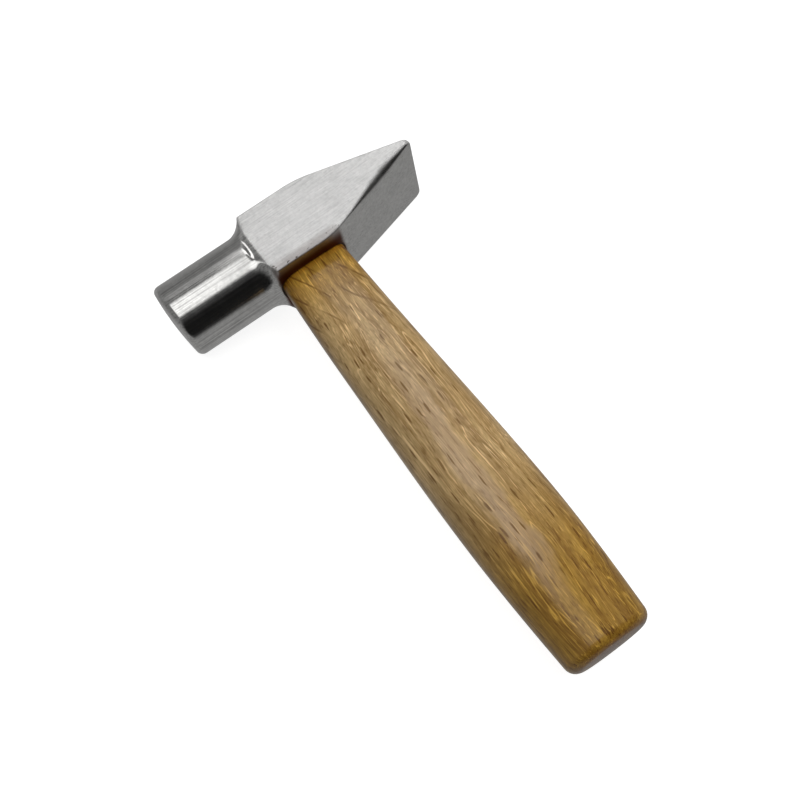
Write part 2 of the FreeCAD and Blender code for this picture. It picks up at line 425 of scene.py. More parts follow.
        fine = drawn_out(0.18, 5.4, 3.0, 4.0)
        mottle = drawn_out(0.55, 2.4, 2.0, 12.0)
        weave = sheet.between(0.45, fine, mottle)
        tint = sheet.colour(*[sheet.step(weave, 0.30, 0.70, low, high)
                              for low, high in ((0.76, 1.20), (0.74, 1.22), (0.64, 1.32))])
        colour = sheet.blend(1.0, colour, tint, "MULTIPLY")

        pale_fibre = sheet.blend(1.0, pale, (1.65, 1.72, 1.95, 1.0), "MULTIPLY")
        streak = sheet.maths("ABSOLUTE", sheet.minus(drawn_out(0.018, 0.55, 1.0, 2.0), 0.50))
        broken = sheet.step(drawn_out(0.10, 0.8, 1.0, 3.0), 0.42, 0.56)
        fibres = sheet.times(sheet.step(streak, 0.016, 0.004), broken)
        short = sheet.step(drawn_out(0.15, 3.4, 1.0, 5.0), 0.60, 0.69)
        fibres = sheet.maths("MAXIMUM", fibres, sheet.times(short, 0.7))
        colour = sheet.blend(sheet.times(fibres, 0.8), colour, pale_fibre)

        early = sheet.step(rings, 0.42, 0.58)
        pores = sheet.step(drawn_out(0.28, 3.4, 1.0, 6.0), 0.56, 0.63)
        pores = sheet.times(pores, sheet.between(early, 0.45, 1.0))
        long_cells = sheet.vector("MULTIPLY", wavy, (0.135, 1.05, 1.05))
        inputs = {"Vector": long_cells, "Scale": 1.0, "Randomness": 1.0}
        cells = sheet.node("ShaderNodeTexVoronoi", inputs, feature="F1")
        chance = sheet.node("ShaderNodeSeparateColor", {0: cells.outputs["Color"]}).outputs[0]
        ragged = sheet.plus(cells.outputs["Distance"], sheet.step(fine, 0.3, 0.7, -0.06, 0.06))
        flecks = sheet.times(sheet.step(ragged, 0.33, 0.22), sheet.step(chance, 0.62, 0.76))

        slant = sheet.vector("DOT_PRODUCT", wavy, (-0.45, 1.0, 0.4))
        ring = sheet.maths("SINE", sheet.times(slant, 2 * math.pi / 5.2))
        gaps = sheet.step(drawn_out(0.12, 0.35, 1.0, 8.0), 0.42, 0.55)
        along = sheet.axes(position)[0]
        lines = sheet.times(sheet.step(ring, 0.91, 0.985), sheet.step(along, 52.0, 20.0))
        lines = sheet.times(lines, gaps)
        marks = sheet.maths("MAXIMUM", sheet.times(pores, 0.55),
                            sheet.times(flecks, 0.85))
        marks = sheet.maths("MAXIMUM", marks, sheet.times(lines, 0.75))
        sheet.feed(result.inputs["Colour"], sheet.blend(marks, colour, pore))
        sheet.feed(result.inputs["Marks"], marks)
        sheet.feed(result.inputs["Fibres"], fine)
        return sheet.tree


SHELF = GroupShelf()


def start_material(name: str) -> tuple[Material, NodeSheet, Node]:
    """Makes a material with one Principled shader.

    Args:
        name: Name of the material.

    Returns:
        The material, its nodes and its shader node.
    """
    material = bpy.data.materials.new(name)
    material.use_nodes = True
    sheet = NodeSheet(material.node_tree)
    shader = sheet.node("ShaderNodeBsdfPrincipled", {})
    sheet.node("ShaderNodeOutputMaterial", {"Surface": shader.outputs[0]})
    return material, sheet, shader


def object_position(sheet: NodeSheet, shift: Triple = (0.0, 0.0, 0.0),
                    turn: Triple = (0.0, 0.0, 0.0)) -> Any:
    """Gives the place on the piece in millimetres from the eye's middle.

    Args:
        sheet: The material's nodes.
        shift: Millimetres added to the place, to choose a part of the pattern.
        turn: Angles in radians that turn the pattern.

    Returns:
        The socket of the place.
    """
    coordinates = sheet.node("ShaderNodeTexCoord", {}).outputs["Object"]
    offset = (shift[0], shift[1], shift[2] - CENTRE_Z)
    inputs = {"Vector": coordinates, "Location": offset, "Rotation": turn, "Scale": (1 / MM,) * 3}
    return sheet.node("ShaderNodeMapping", inputs, vector_type="POINT").outputs[0]


# ------------------------------------------------------------------ finishes
@dataclass(frozen=True)
class ForgedSteel:
    """Bright steel: ground cheeks, a turned poll and a faced striking face."""

    colour: Colour = (0.64, 0.635, 0.62, 1.0)
    ground_colour: Colour = (0.84, 0.835, 0.825, 1.0)
    # painted shade round the eye, where the steel would reflect the shaded wood
    rim_shade_colour: Colour = (0.085, 0.020, 0.004, 1.0)
    pit_colour: Colour = (0.030, 0.025, 0.022, 1.0)
    ground_metal: float = 0.55
    smooth_roughness: float = 0.30
    ground_roughness: float = 0.42
    turned_roughness: float = 0.14
    faced_roughness: float = 0.24
    ground_stretch: Triple = (3.4, 0.13, 3.4)
    turned_stretch: Triple = (3.2, 0.02, 3.2)
    faced_stretch: Triple = (6.0, 0.3, 0.3)
    smudge_size: float = 4.0
    rim_shade_roughness: float = 0.5
    speck_depth: float = 0.35
    nick_x: Pair = (8.2, 9.2)  # the nicks keep to the cheeks' edge beyond this
    relief: Pair = (0.25, 0.03)  # strength, and depth in millimetres

    def material(self, name: str) -> Material:
        """Builds the steel's material.

        Args:
            name: Name of the material.

        Returns:
            The material.
        """
        material, sheet, shader = start_material(name)
        position = object_position(sheet)
        zones = sheet.node("ShaderNodeAttribute", {}, attribute_name="zones")
        split = sheet.node("ShaderNodeSeparateColor", {0: zones.outputs["Color"]})
        turned, faced, ground = split.outputs[0], split.outputs[1], split.outputs[2]
        # painted shade and painted reflection of the shaded wood on the steel round the eye
        rim_shade = sheet.node("ShaderNodeAttribute", {}, attribute_name="rim_shade").outputs["Fac"]
        axes = sheet.axes(position)
        radius = sheet.vector("LENGTH", sheet.vector("MULTIPLY", position, (1.0, 0.0, 1.0)))
        round_axis = sheet.node("ShaderNodeCombineXYZ", {0: radius, 1: axes[0], 2: axes[2]}).outputs[0]

        along, drawn, rings = [
            SHELF.place(sheet, Group.FINE_MARKS, {"Position": place, "Stretch": stretch})
            for place, stretch in ((position, self.ground_stretch), (position, self.turned_stretch),
                                   (round_axis, self.faced_stretch))]
        grain = sheet.between(turned, along["Grain"], drawn["Grain"])
        grain = sheet.between(faced, grain, rings["Grain"])
        scratches = sheet.between(turned, along["Scratches"], drawn["Scratches"])
        smudge = SHELF.place(sheet, Group.SMUDGES, {"Position": position, "Size": self.smudge_size})

        rough: Any = self.smooth_roughness
        for zone, value in ((ground, self.ground_roughness), (turned, self.turned_roughness),
                            (faced, self.faced_roughness)):
            rough = sheet.between(zone, rough, value)
        rough = sheet.plus(rough, sheet.step(grain, 0.3, 0.7, -0.05, 0.05))
        rough = sheet.plus(rough, sheet.times(smudge["Cloud"], 0.04))
        sheet.feed(shader.inputs["Roughness"], sheet.between(rim_shade, rough, self.rim_shade_roughness))

        mottle = sheet.noise(position, 1.1, detail=2.0, roughness=0.7, seed=11.0)
        shade = sheet.step(grain, 0.25, 0.75, 0.78, 1.10)
        shade = sheet.times(shade, sheet.step(smudge["Cloud"], 0.0, 1.0, 0.94, 1.03))
        shade = sheet.times(shade, sheet.step(mottle, 0.3, 0.7, 0.91, 1.06))
        lines = sheet.step(drawn["Grain"], 0.50, 0.42, 0.0, 0.18)
        shade = sheet.minus(shade, sheet.times(lines, turned))
        shade = sheet.minus(shade, sheet.times(scratches, 0.12))
        bright = sheet.blend(ground, self.colour, self.ground_colour)
        colour = sheet.blend(1.0, bright, sheet.colour(shade, shade, shade), "MULTIPLY")
        colour = sheet.blend(sheet.times(smudge["Specks"], self.speck_depth), colour, self.pit_colour)
        dent = sheet.vector("MULTIPLY", position, (1.7, 0.8, 1.7))
        dent = sheet.noise(dent, 1.0, detail=1.0, seed=21.0)
        nicks = sheet.times(sheet.step(dent, 0.64, 0.70), sheet.step(axes[0], *self.nick_x))
        colour = sheet.blend(sheet.times(nicks, ground), colour, self.pit_colour)
        sheet.feed(shader.inputs["Base Color"], sheet.blend(rim_shade, colour, self.rim_shade_colour))
        sheet.feed(shader.inputs["Metallic"], sheet.between(ground, 1.0, self.ground_metal))
        sheet.bump(shader, sheet.minus(grain, sheet.times(scratches, 0.6)), *self.relief)
        return material


@dataclass(frozen=True)
class DullSteel:
    """Mild steel left as it was stamped, for the small wedge."""

    colour: Colour = (0.36, 0.355, 0.35, 1.0)
    rust: Colour = (0.16, 0.075, 0.035, 1.0)
    roughness: float = 0.38
    stretch: Triple = (1.2, 6.0, 6.0)
    smudge_size: float = 1.8
    relief: Pair = (0.3, 0.04)

    def material(self, name: str) -> Material:
        """Builds the wedge's material.

        Args:
            name: Name of the material.

        Returns:
            The material.
        """
        material, sheet, shader = start_material(name)
        position = object_position(sheet)
        marks = SHELF.place(sheet, Group.FINE_MARKS, {"Position": position, "Stretch": self.stretch})
        smudge = SHELF.place(sheet, Group.SMUDGES, {"Position": position, "Size": self.smudge_size})
        rust = sheet.times(smudge["Cloud"], 0.35)
        sheet.feed(shader.inputs["Base Color"], sheet.blend(rust, self.colour, self.rust))
        shader.inputs["Metallic"].default_value = 1.0
        rough = sheet.plus(self.roughness, sheet.times(smudge["Cloud"], 0.15))
        sheet.feed(shader.inputs["Roughness"], rough)
        sheet.bump(shader, marks["Grain"], *self.relief)
        return material


@dataclass(frozen=True)
class LacqueredWood:
    """Open-pored wood under clear satin lacquer."""

    pale: Colour
    dark: Colour
    pore: Colour
    roughness: float
    coat: float
    coat_roughness: float
    shift: Triple
    turn: Triple
    dark_ends: Pair  # the wood is darker and redder near these two places
    sheen_span: tuple[float, float, float, float]  # painted sheen: paler and less saturated between the middle two, where the lacquer's gloss would show
    shine: float
    # streak colour and its depth: a painted highlight along the top of the grip
    streak: Colour
    highlight_depth: float
    end_fades: Pair = (1.8, 1.6)  # how far in from the dark ends the darkness fades
    smudge_size: float = 14.0
    relief: Pair = (0.35, 0.12)

    def material(self, name: str) -> Material:
        """Builds the wood's material.

        Args:
            name: Name of the material.

        Returns:
            The material.
        """
        material, sheet, shader = start_material(name)
        position = object_position(sheet, self.shift, self.turn)
        grain = SHELF.place(sheet, Group.OAK_GRAIN, {
            "Position": position, "Pale": self.pale, "Dark": self.dark, "Pore": self.pore})
        smudge = SHELF.place(sheet, Group.SMUDGES, {"Position": position, "Size": self.smudge_size})
        along = sheet.axes(position)[0]
        (low, high), (low_fade, high_fade) = self.dark_ends, self.end_fades
        end = sheet.maths("MAXIMUM", sheet.step(along, low + low_fade, low),
                          sheet.step(along, high - high_fade, high))
        tone = sheet.step(smudge["Cloud"], 0.0, 1.0, 0.90, 1.06)
        tone = sheet.times(tone, sheet.step(along, 90.0, 125.0, 1.0, 0.90))
        tone = sheet.times(tone, sheet.between(end, 1.0, 0.80))
        # painted sheen: paler in the middle of the grip, darker and more saturated beyond
        start, full, fall, stop = self.sheen_span
        middle = sheet.times(sheet.step(along, start, full), sheet.step(along, stop, fall))
        red = sheet.times(sheet.between(middle, 0.80, 1.0), sheet.between(end, 1.0, 1.2))
        blue = sheet.times(sheet.between(middle, 0.22, 1.0), sheet.between(end, 1.0, 0.60))
        green = sheet.between(middle, 0.66, 1.0)
        warm = sheet.colour(*[sheet.times(tone, part) for part in (red, green, blue)])
        colour = sheet.blend(1.0, grain["Colour"], warm, "MULTIPLY")
        plain = sheet.minus(1.0, grain["Marks"])
        # painted highlight: a paler streak along the top of the grip
        streak = sheet.times(self.painted_highlight_mask(sheet, smudge["Cloud"]), plain)
        colour = sheet.blend(sheet.times(streak, self.highlight_depth), colour, self.streak)
        sheet.feed(shader.inputs["Base Color"], colour)
        rough = sheet.plus(self.roughness, sheet.times(grain["Marks"], 0.2))
        sheet.feed(shader.inputs["Roughness"], rough)
        shader.inputs["Specular IOR Level"].default_value = self.shine
        shader.inputs["Coat Weight"].default_value = self.coat
        shader.inputs["Coat Roughness"].default_value = self.coat_roughness
        fibres = sheet.times(grain["Fibres"], 0.5)
        height = sheet.minus(fibres, sheet.times(grain["Marks"], 0.8))
        sheet.bump(shader, height, *self.relief)
        return material

    def painted_highlight_mask(self, sheet: NodeSheet, cloud: Any) -> Any:
        """Marks the painted highlight: a paler streak along the middle of the upper face.

        Args:
            sheet: The material's nodes.
            cloud: Cloudy values that make the streak's sides wander.

        Returns:
            The socket of the mask.
        """
        along, across, height = sheet.axes(object_position(sheet))
        wander = sheet.step(cloud, 0.0, 1.0, 0.4, 2.2)
        beside = sheet.maths("ABSOLUTE", sheet.plus(across, wander))
        ends = sheet.times(sheet.step(along, 34.0, 74.0), sheet.step(along, 124.0, 104.0))
        mask = sheet.times(sheet.step(beside, 3.6, 1.8), sheet.step(height, 1.0, 3.0))
        return sheet.times(mask, ends)


@dataclass(frozen=True)
class SetAdhesive:
    """Dark adhesive that has set in the eye; its near-black colour also paints the shade in the thin
    gap round the handle.
    """

    colour: Colour = (0.020, 0.013, 0.009, 1.0)
    thin_colour: Colour = (0.060, 0.035, 0.018, 1.0)
    roughness: float = 0.45
    smudge_size: float = 1.6
    relief: Pair = (0.4, 0.1)

    def material(self, name: str) -> Material:
        """Builds the adhesive's material.

        Args:
            name: Name of the material.

        Returns:
            The material.
        """
        material, sheet, shader = start_material(name)
        position = object_position(sheet)
        smudge = SHELF.place(sheet, Group.SMUDGES, {"Position": position, "Size": self.smudge_size})
        colour = sheet.blend(smudge["Cloud"], self.colour, self.thin_colour)
        sheet.feed(shader.inputs["Base Color"], colour)
        rough = sheet.plus(self.roughness, sheet.times(smudge["Cloud"], 0.2))
        sheet.feed(shader.inputs["Roughness"], rough)
        sheet.bump(shader, smudge["Cloud"], *self.relief)
        return material


# ------------------------------------------------------------------ head
@dataclass
class HammerHead:
    """Forged head: turned poll, square body with the eye, and cross pein."""

    poll_radius: float = 10.98
    face_y: float = -39.4
    face_crown: float = 0.5
    face_edge_radius: float = 2.0
    face_tilt: float = 0.045  # rise of Y per millimetre of X on the striking face
    neck_y: float = -14.9
    neck_radius: float = 5.6
    poll_drop: float = 0.95  # how far the poll's radius falls at its end
    poll_end: Pair = (-12.9, -12.1)  # where it falls
    half_width: float = 10.45
    cheek_fall: float = 0.14  # how far the cheeks sink towards the neck
    cheek_start: Pair = (-13.0, -10.0)
    corner_radius: float = 0.55
    ridge_radius: float = 2.6  # along the lower pein slope's upper edge, near the tip
    ridge_y: Pair = (12.0, 29.0)  # where the ridge's radius starts and ends growing
    shoulder_soft: Pair = (0.8, 1.6)  # rounding of the shoulders, and of the far one
    crease_soft: float = 0.15  # rounding where the poll's end passes into the cheeks
    ease_start: Pair = (-15.4, -14.4)  # where the evening out of the crease sets in
    ease_end: Pair = (-9.6, -8.4)  # and where it fades out
    ease_passes: int = 14
    pein_y: float = 40.2
    pein_half_width: float = 12.19
    pein_half_thickness: float = 0.7
    pein_corner_radius: float = 2.0
    nose_radius: float = 0.6
    crown_slope_y: float = 9.2
    under_slope_y: float = 8.0
    flare_y: float = 8.6
    eye_half_length: Pair = (10.85, 10.35)  # at the crown, at the underside
    eye_half_width: Pair = (6.15, 5.55)
    eye_squareness: float = 3.4
    eye_edge: float = 0.3
    rim_shade_reach: Pair = (0.25, 1.3)  # where the painted shade round the eye fades out
    rim_shade_end: Pair = (9.9, 11.0)  # where it fades out along the head
    side_columns: int = 60
    corner_columns: int = 8
    eye_columns: int = 18  # columns from the side's middle to the edge of the eye
    eye_rows: int = 72
    poll_rows: int = 23
    neck_rows: int = 35
    pein_rows: int = 45
    nose_rows: int = 8  # round the pein's corner, and again round its nose
    face_rows: int = 12
    edge_rows: int = 10
    wall_rows: int = 7
    crown_soft: float = 4.2  # reach of the rounding before the upper pein slope
    under_soft: float = 3.4  # and before the lower one
    flare_soft: float = 5.5  # and before the flare
    ridge_room: float = 1.6  # how many times the ridge's growth has to fit in half the thickness
    thin_share: float = 0.95  # largest corner radius, as a share of half the thickness
    far_span: Pair = (0.8, 1.0)  # cosine of the angle from the far corner
    ease_share: Pair = (0.72, 0.92)  # where the evening out fades before the body's corners
    slide_end: float = 1.5  # where the grid's slide ends, in half blocks of the eye
    tilt_span: Pair = (20.0, 38.0)  # distance along the poll over which the tilt sets in
    turned_end: Pair = (-10.9, -9.7)
    faced_rim: Pair = (0.3, 1.2)  # distance behind the face where the facing marks end
    faced_reach: float = 10.4
    ground_depth: Pair = (-0.35, -0.05)  # distance from the cheek where the grinding sets in
    rim_shade_height: Pair = (7.5, 9.5)

    def crown_x(self, y: Array) -> Array:
        """Crown face and upper pein slope."""
        end = (self.pein_y, -self.pein_half_thickness)
        return bent_line(y, (self.crown_slope_y, CROWN_X), end, self.crown_soft)

    def under_x(self, y: Array) -> Array:
        """Underside and lower pein slope."""
        end = (self.pein_y, self.pein_half_thickness)
        return bent_line(y, (self.under_slope_y, UNDERSIDE_X), end, self.under_soft)

    def cheek_z(self, y: Array) -> Array:
        """Half width: level, then flaring to the pein's edge, with the edge's corners rounded."""
        end = (self.pein_y, self.pein_half_width)
        half = bent_line(y, (self.flare_y, self.half_width), end, self.flare_soft)
        half -= self.cheek_fall * (1 - smooth_step(y, *self.cheek_start))
        return self.rounded_off(y, half, self.pein_corner_radius)

    def rounded_off(self, y: Array, half: Array, radius: float) -> Array:
        """Takes a quarter circle off a half size at the pein's end."""
        past = np.clip(y - (self.pein_y - radius), 0, radius)
        return half - radius + np.sqrt(radius ** 2 - past ** 2)

    def section_point(self, y: Array, fx: Array, fz: Array, ax: Array, az: Array) -> Array:
        """Points on the head's skin.

        A rounded rectangle across Y is carried along Y.  Its points are its middle, plus a
        share fx, fz of the way to its corner arcs, plus the corner radius along ax, az.  Each
        point is then drawn in to the concave neck, or pushed out to the poll, along the line
        from the head's axis.

        Args:
            y: Places along the head.
            fx: Shares of the way from the middle to the arcs, along X.
            fz: The same along Z.
            ax: X part of the outward direction.
            az: Z part of the outward direction.

        Returns:
            Points in millimetres, with X, Y and Z along the last axis.
        """
        low, high, half_z = self.crown_x(y), self.under_x(y), self.cheek_z(y)
        half_x = self.rounded_off(y, (high - low) / 2, self.nose_radius)
        ridge_share = np.clip((1 + fx) / 2, 0, 1) * np.clip((1 + fz) / 2, 0, 1)
        growth = smooth_step(y, *self.ridge_y) * (self.ridge_radius - self.corner_radius)
        growth = np.minimum(growth, np.clip(half_x - self.corner_radius, 0, None) / self.ridge_room)
        radius = np.minimum(self.corner_radius + ridge_share * growth, self.thin_share * half_x)
        x = (low + high) / 2 + fx * (half_x - radius) + ax * radius
        z = fz * (half_z - radius) + az * radius
        reach = np.hypot(x, z)
        neck, poll = self.neck_reach(y), self.poll_reach(y)
        width = np.clip(neck - poll, 0, self.crease_soft)
        far = smooth_step((x - z) / (math.sqrt(2) * np.maximum(reach, TINY)), *self.far_span)
        soft = part_way(self.shoulder_soft, far)
        wanted = soft_max(soft_min(reach, neck, soft), poll, width)
        scale = wanted / np.maximum(reach, TINY)
        return np.stack([x * scale, y, z * scale + CENTRE_Z], axis=-1)

    def neck_reach(self, y: Array) -> Array:
        """Concave neck: an arc that leaves the poll at neck_y and turns away from the axis."""
        along = np.clip(y - self.neck_y, 0, self.neck_radius)
        arc = self.poll_radius + self.neck_radius - np.sqrt(self.neck_radius ** 2 - along ** 2)
        return np.where(y > self.neck_y + self.neck_radius, BEYOND, arc)

    def poll_reach(self, y: Array) -> Array:
        """Poll: a cylinder whose end falls away below the cheeks and keeps shrinking."""
        past = np.clip(y - self.poll_end[1], 0, None)
        return self.poll_radius - self.poll_drop * smooth_step(y, *self.poll_end) - past

    def columns(self) -> tuple[Array, Array, Array, Array]:
        """Shares and outward directions of the section's columns.

        The columns run round the section from the underside by the upper cheek, the crown and
        the lower cheek, and each side is followed by its corner.

        Returns:
            fx, fz, ax and az, one value per column.
        """
        side = np.linspace(-1, 1, self.side_columns + 1)
        corner = np.linspace(0, math.pi / 2, self.corner_columns + 1)[1:-1]
        ones, fixed = np.ones_like(side), np.ones_like(corner)
        parts = []
        for turn in np.arange(4) * math.pi / 2:
            c, s = round(math.cos(turn)), round(math.sin(turn))
            angle = corner + turn
            parts.append(np.stack([c * ones - s * side, s * ones + c * side, c * ones, s * ones]))
            parts.append(np.stack([(c - s) * fixed, (s + c) * fixed, np.cos(angle), np.sin(angle)]))
        fx, fz, ax, az = np.concatenate(parts, axis=1)
        return fx, fz, ax, az

    def rows(self) -> Array:
        """Places of the rows along Y from the end of the poll's edge to the pein's nose."""
        eye = sum(self.eye_half_length) / 2
        corner = self.pein_y - self.pein_corner_radius
        nose = self.pein_y - self.nose_radius
        poll = self.face_y + self.face_crown + self.face_edge_radius
        stops = [poll, self.neck_y, -eye, eye, corner, nose]
        counts = [self.poll_rows, self.neck_rows, self.eye_rows, self.pein_rows, self.nose_rows]
        parts = [np.linspace(start, stop, count + 1)[1:]
                 for start, stop, count in zip(stops, stops[1:], counts)]
        turn = np.linspace(0, math.pi / 2, self.nose_rows + 1)[1:]
        return np.concatenate([*parts, nose + self.nose_radius * np.sin(turn)])

    def build(self) -> Piece:
        """Builds the head's closed mesh with its eye.

        Returns:
            The piece, with its zones stored for the finish.
        """
        fx, fz, ax, az = self.columns()
        y_rows = self.rows()
        count = len(fx)
        y = np.repeat(y_rows[:, None], count, axis=1)
        share_z = np.repeat(fz[None, :], len(y_rows), axis=0)
        y, share_z = self.open_eye(y, share_z, ax)
        body = self.section_point(y, fx[None, :], share_z, ax[None, :], az[None, :])
        self.ease_crease(body, np.where(np.abs(az) > FLAT, fx, 1.0))

        direction = np.arctan2(body[0, :, 2] - CENTRE_Z, body[0, :, 0])
        face = self.face_rings(direction)
        points = np.concatenate([face.reshape(-1, 3), body.reshape(-1, 3)])
        total_rows = len(face) + len(body)
        grid = np.arange(total_rows * count).reshape(total_rows, count)
        first_body = len(face)

        hole = self.eye_cells(y_rows, ax, fz)
        quads = strip_faces(grid).reshape(total_rows - 1, count, 4)
        keep = np.ones((total_rows - 1, count), bool)
        keep[first_body:] = ~hole
        faces = quads[keep].tolist()

        centre = len(points)
        points = np.concatenate([points, [[0.0, self.face_y, CENTRE_Z]]])
        faces += fan_faces(grid[0], centre).tolist()
        faces += self.nose_faces(grid[-1]).tolist()
        points, walls = self.eye_walls(points, grid[first_body:], y_rows)
        faces += walls
        points[:, 1] += smooth_step(-points[:, 1], *self.tilt_span) * self.face_tilt * points[:, 0]
        points, faces = used_only(points, faces)
        piece = mesh_piece("forged_head", points, faces)
        self.store_zones(piece, points)
        return piece

    def ease_crease(self, body: Array, share: Array) -> None:
        """Evens out the shallow crease between the poll's end and the cheeks.

        The distance from the head's axis is replaced again and again by the mean of the four
        neighbours, with a weight that fades out before the body's corners and along Y.

        Args:
            body: The body's points by row and column, changed in place.
            share: Share of the way to the corner for each column of the cheeks, and 1 elsewhere.
        """
        y = body[:, :1, 1]
        window = smooth_step(y, *self.ease_start) * (1 - smooth_step(y, *self.ease_end))
        weight = window * (1 - smooth_step(np.abs(share), *self.ease_share))[None, :]
        before = np.hypot(body[..., 0], body[..., 2] - CENTRE_Z)
        reach = before.copy()
        for _ in range(self.ease_passes):
            beside = (np.roll(reach, 1, axis=1) + np.roll(reach, -1, axis=1)) / 2
            along = reach.copy()
            along[1:-1] = (reach[:-2] + reach[2:]) / 2
            reach += weight * ((beside + along) / 2 - reach)
        scale = np.where(weight > 0, reach / np.maximum(before, 1.0), 1.0)
        body[..., 0] *= scale
        body[..., 2] = (body[..., 2] - CENTRE_Z) * scale + CENTRE_Z

    def face_rings(self, direction: Array) -> Array:
        """Rings of the striking face and its rounded edge.

        The face bulges as a parabola and meets the edge's quarter circle.

        Args:
            direction: Angle of each column about the head's axis.

        Returns:
            Points by ring and column, from the middle of the face outwards.
        """
        flat = self.poll_radius - self.face_edge_radius
        inner = flat * np.linspace(0, 1, self.face_rows + 1)[1:-1]
        inner_y = self.face_y + self.face_crown * (inner / flat) ** 2
        turn = np.linspace(0, math.pi / 2, self.edge_rows + 1)
        edge = flat + self.face_edge_radius * np.sin(turn)
        edge_y = self.face_y + self.face_crown + self.face_edge_radius * (1 - np.cos(turn))
        radius = np.concatenate([inner, edge])[:, None]
        y = np.concatenate([inner_y, edge_y])[:, None]
        x = radius * np.cos(direction)[None, :]
        z = radius * np.sin(direction)[None, :] + CENTRE_Z
        return np.stack([x, np.broadcast_to(y, x.shape), z], axis=-1)

    def eye_sides(self, ax: Array) -> list[tuple[Array, int]]:
        """Columns of the underside and of the crown, with 1 or 0 for which eye size they take."""
        return [(np.flatnonzero(ax > FLAT), 1), (np.flatnonzero(ax < -FLAT), 0)]

    def eye_block(self) -> Pair:
        """Half length and half width share of the grid block that becomes the eye."""
        return sum(self.eye_half_length) / 2, self.eye_columns * 2 / self.side_columns

    def open_eye(self, y: Array, share_z: Array, ax: Array) -> tuple[Array, Array]:
        """Slides the grid along the skin so that one block of it has the eye's outline.

        Inside the block every point keeps its place on a square ring, and the ring is drawn as
        |u|^n + |v|^n = 1.  The slide fades out over half a block beyond the eye.

        Args:
            y: Places of the grid points along the head.
            share_z: Their shares across the crown and underside.
            ax: X part of each column's outward direction.

        Returns:
            The places and shares after the slide.
        """
        block_y, block_z = self.eye_block()
        moved_y, moved_z = y.copy(), share_z.copy()
        for columns, size in self.eye_sides(ax):
            a = y[:, columns] / block_y
            b = share_z[:, columns] / block_z
            ring = np.maximum(np.maximum(np.abs(a), np.abs(b)), TINY)
            scale = rounding(a / ring, b / ring, self.eye_squareness)
            fade = 1 - smooth_step(ring, 1.0, self.slide_end)
            target_y = a * scale * (self.eye_half_length[size] + self.eye_edge)
            target_z = b * scale * (self.eye_half_width[size] + self.eye_edge)
            room = self.half_width - self.corner_radius
            moved_y[:, columns] += fade * (target_y - y[:, columns])
            moved_z[:, columns] += fade * (target_z / room - share_z[:, columns])
        return moved_y, moved_z

    def eye_cells(self, y_rows: Array, ax: Array, fz: Array) -> Array:
        """Marks the grid cells of the body that the eye removes."""
        block_y, block_z = self.eye_block()
        mid_y = (y_rows[1:] + y_rows[:-1]) / 2
        next_fz, next_ax = np.roll(fz, -1), np.roll(ax, -1)
        mid_z = (fz + next_fz) / 2
        on_side = (np.abs(ax) > FLAT) & (ax * next_ax > FLAT)
        return (np.abs(mid_y) < block_y)[:, None] & (on_side & (np.abs(mid_z) < block_z))[None, :]

    def eye_walls(self, points: Array, body: Array, y_rows: Array) -> tuple[Array, Faces]:
        """Joins the two openings by a tapering wall with rounded edges.

        Args:
            points: All points so far.
            body: Vertex numbers of the body's grid.
            y_rows: Places of the body's rows before the slide.

        Returns:
            The points with the wall's added, and the wall's faces.
        """
        _, fz, ax, _ = self.columns()
        block_y, block_z = self.eye_block()
        rows = np.flatnonzero(np.abs(y_rows) < block_y + TINY)
        loops = []
        for columns, _ in self.eye_sides(ax):
            inside = columns[np.abs(fz[columns]) < block_z + TINY]
            inside = inside[np.argsort(fz[inside])]
            block = body[np.ix_(rows, inside)]
            loops.append(np.concatenate(
                [block[0, :-1], block[:-1, -1], block[-1, :0:-1], block[:0:-1, 0]]))
        a = np.linspace(-1, 1, len(rows))
        b = np.linspace(-1, 1, 2 * self.eye_columns + 1)
        side_a, side_b = np.ones(len(b) - 1), np.ones(len(a) - 1)
        around_a = np.concatenate([-side_a, a[:-1], side_a, a[:0:-1]])
        around_b = np.concatenate([b[:-1], side_b, b[:0:-1], -side_b])
        scale = rounding(around_a, around_b, self.eye_squareness)
        start, end = [points[loop, 0] for loop in loops]
        turn = np.linspace(0, math.pi / 2, 4)[1:]
        edge = list(zip(self.eye_edge * (1 - np.sin(turn)), self.eye_edge * (1 - np.cos(turn))))
        layers = [(start - deep, spread) for spread, deep in edge]
        for share in np.linspace(0, 1, self.wall_rows + 1)[1:-1]:
            first, last = start - self.eye_edge, end + self.eye_edge
            layers.append((first + share * (last - first), 0.0))
        layers += [(end + deep, spread) for spread, deep in reversed(edge)]
        rings, added = [loops[0]], []
        number = len(points)
        for x, spread in layers:
            share = (x - CROWN_X) / (UNDERSIDE_X - CROWN_X)
            y = around_a * scale * (part_way(self.eye_half_length, share) + spread)
            z = around_b * scale * (part_way(self.eye_half_width, share) + spread) + CENTRE_Z
            added.append(np.stack([x, y, z], axis=-1))
            rings.append(np.arange(number, number + len(x)))
            number += len(x)
        rings.append(loops[1])
        return np.concatenate([points, *added]), strip_faces(np.stack(rings)).tolist()

    def nose_faces(self, ring: Array) -> Array:
        """Closes the pein's nose by strips between each column and its mirror across X."""
        count = len(ring)
        quarter = count // 4
        half_side = self.side_columns // 2
        low = np.arange(-(self.corner_columns - 1) - half_side, quarter + half_side)
        mirror = (3 * quarter + self.side_columns) - quarter - low
        a, b = ring[low % count], ring[(low + 1) % count]
        c, d = ring[(mirror - 1) % count], ring[mirror % count]
        return np.stack([a, b, c, d], axis=-1)[1:-1]

    def eye_distance(self, y: Array, z: Array) -> Array:
        """Distance from the eye's middle as a multiple of its outline's at the underside."""
        a, b = y / self.eye_half_length[1], z / self.eye_half_width[1]
        return 1 / rounding(a, b, self.eye_squareness)

